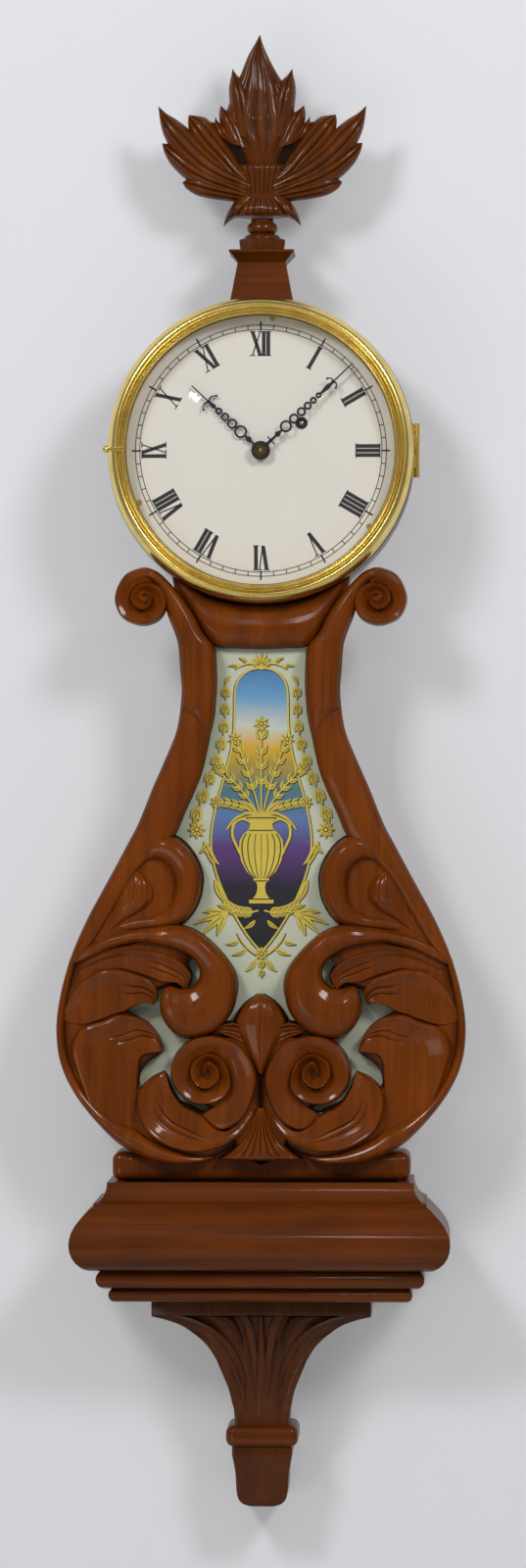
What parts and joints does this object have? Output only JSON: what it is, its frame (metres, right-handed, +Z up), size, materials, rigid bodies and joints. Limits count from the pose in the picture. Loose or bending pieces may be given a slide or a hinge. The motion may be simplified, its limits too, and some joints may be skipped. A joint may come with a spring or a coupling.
{
  "type": "lyre wall clock",
  "caption": "Carved lyre-shaped wall clock with hinged brass bezel, Roman dial, painted glass tablet, moulded base, acanthus bracket and leaf finial; weight-driven with a pendulum.",
  "frame": {"origin": "centre of the hanging hole at the wall face of the backboard", "axes": "+Z up, +Y into the wall, +X to the right seen from the front"},
  "size_m": [0.288, 0.12, 1.04],
  "materials": {
    "mahogany": "polished",
    "dark_mahogany": "polished",
    "pine": "plain",
    "brass": "polished",
    "steel": "satin",
    "blued_steel": "blued",
    "dial_paint": "satin paint",
    "black_paint": "black",
    "clear_glass": "clear",
    "painted_glass": "painted behind",
    "cast_iron": "as cast",
    "gut": "plain"
  },
  "bodies": {
    "case": {"backboard": "pine", "case_screws": "steel", "head_drum": "mahogany", "lyre_side_left": "mahogany", "lyre_side_right": "mahogany", "lyre_front": "mahogany", "yoke_rail": "mahogany", "glass_tablet": "painted_glass", "tablet_retainers": "pine", "weight_partition": "pine", "base_apron": "mahogany", "base_moulding": "mahogany", "base_bead_upper": "mahogany", "base_bead_lower": "mahogany", "bracket_console": "mahogany", "bracket_collar": "mahogany", "bracket_drop": "mahogany", "finial_plinth": "dark_mahogany", "plinth_cap": "dark_mahogany", "finial_pedestal": "dark_mahogany", "finial_leaf": "dark_mahogany", "finial_dowel": "pine", "dial_plate": "dial_paint", "brass_screws": "brass", "winding_eyelet": "black_paint", "hinge_leaf_case": "brass", "hinge_pin": "brass", "movement_back_plate": "brass", "movement_front_plate": "brass", "plate_pillars": "brass", "movement_legs": "pine", "pillar_screws": "steel", "suspension_bridge": "brass", "cable": "gut"},
    "bezel": {"bezel_ring": "brass", "bezel_glass": "clear_glass", "glass_retaining_ring": "brass", "hinge_leaf_bezel": "brass", "bezel_pull": "brass"},
    "minute_hand": {"cannon_pinion": "steel", "minute_hand": "blued_steel"},
    "centre_arbor": {"centre_arbor": "steel", "centre_wheel": "brass", "hand_nut": "brass"},
    "hour_pipe": {"hour_wheel": "brass", "hour_hand": "blued_steel"},
    "minute_wheel": {"minute_wheel": "brass"},
    "great_wheel": {"great_wheel": "brass", "click": "steel"},
    "winding_drum": {"winding_drum": "steel"},
    "third_wheel": {"third_wheel": "brass"},
    "escape_wheel": {"escape_wheel": "brass"},
    "verge": {"verge": "steel"},
    "pendulum": {"suspension_spring": "steel", "pendulum_rod": "brass", "pendulum_bob": "brass", "rating_nut": "brass"},
    "weight": {"weight": "cast_iron", "pulley_bracket": "brass"},
    "pulley": {"weight_pulley": "brass"}
  },
  "joints": [
    {"name": "bezel_hinge", "type": "hinge", "parent": "case", "child": "bezel", "pos_m": [0.1098, -0.07815, -0.072], "axis": [0, 0, 1], "range_deg": [0, 110]},
    {"name": "minute_hand_turn", "type": "hinge", "parent": "case", "child": "minute_hand", "pos_m": [0, -0.05, -0.072], "axis": [0, 1, 0], "continuous": true},
    {"name": "centre_arbor_turn", "type": "hinge", "parent": "case", "child": "centre_arbor", "pos_m": [0, -0.05, -0.072], "axis": [0, 1, 0], "continuous": true},
    {"name": "hour_hand_turn", "type": "hinge", "parent": "case", "child": "hour_pipe", "pos_m": [0, -0.075, -0.072], "axis": [0, 1, 0], "continuous": true},
    {"name": "minute_wheel_turn", "type": "hinge", "parent": "case", "child": "minute_wheel", "pos_m": [-0.01273, -0.068, -0.08473], "axis": [0, 1, 0], "continuous": true},
    {"name": "great_wheel_turn", "type": "hinge", "parent": "case", "child": "great_wheel", "pos_m": [0.0286, -0.039, -0.0526], "axis": [0, 1, 0], "continuous": true},
    {"name": "third_wheel_turn", "type": "hinge", "parent": "case", "child": "third_wheel", "pos_m": [-0.02145, -0.046, -0.0608], "axis": [0, 1, 0], "continuous": true},
    {"name": "escape_wheel_turn", "type": "hinge", "parent": "case", "child": "escape_wheel", "pos_m": [-0.008, -0.057, -0.046], "axis": [0, 1, 0], "continuous": true},
    {"name": "weight_slide", "type": "slide", "parent": "case", "child": "weight", "axis": [0, 0, 1], "range_m": [0, 0.27], "deforming": ["cable"]},
    {"name": "winding_drum_turn", "type": "hinge", "parent": "case", "child": "winding_drum", "pos_m": [0.0286, -0.049, -0.0526], "axis": [0, 1, 0], "range_deg": [0, 5080]},
    {"name": "pulley_turn", "type": "hinge", "parent": "weight", "child": "pulley", "pos_m": [0.0139, -0.049, -0.416], "axis": [0, 1, 0], "range_deg": [-1800, 0]},
    {"name": "pendulum_swing", "type": "hinge", "parent": "case", "child": "pendulum", "pos_m": [0, -0.0225, -0.026], "axis": [0, 1, 0], "range_deg": [-3, 3]},
    {"name": "verge_swing", "type": "hinge", "parent": "case", "child": "verge", "pos_m": [0, -0.05, -0.026], "axis": [0, 1, 0], "range_deg": [-3, 3]}
  ],
  "couplings": [
    {"joint": "hour_hand_turn", "follows": "minute_hand_turn", "ratio": 0.083333},
    {"joint": "minute_wheel_turn", "follows": "minute_hand_turn", "ratio": -0.33333},
    {"joint": "third_wheel_turn", "follows": "escape_wheel_turn", "ratio": -0.11111},
    {"joint": "centre_arbor_turn", "follows": "escape_wheel_turn", "ratio": 0.011111},
    {"joint": "great_wheel_turn", "follows": "escape_wheel_turn", "ratio": -0.00092593},
    {"joint": "winding_drum_turn", "follows": "weight_slide", "rad_per_m": 327.87},
    {"joint": "pulley_turn", "follows": "weight_slide", "rad_per_m": -116.28},
    {"joint": "verge_swing", "follows": "pendulum_swing", "ratio": 1}
  ]
}
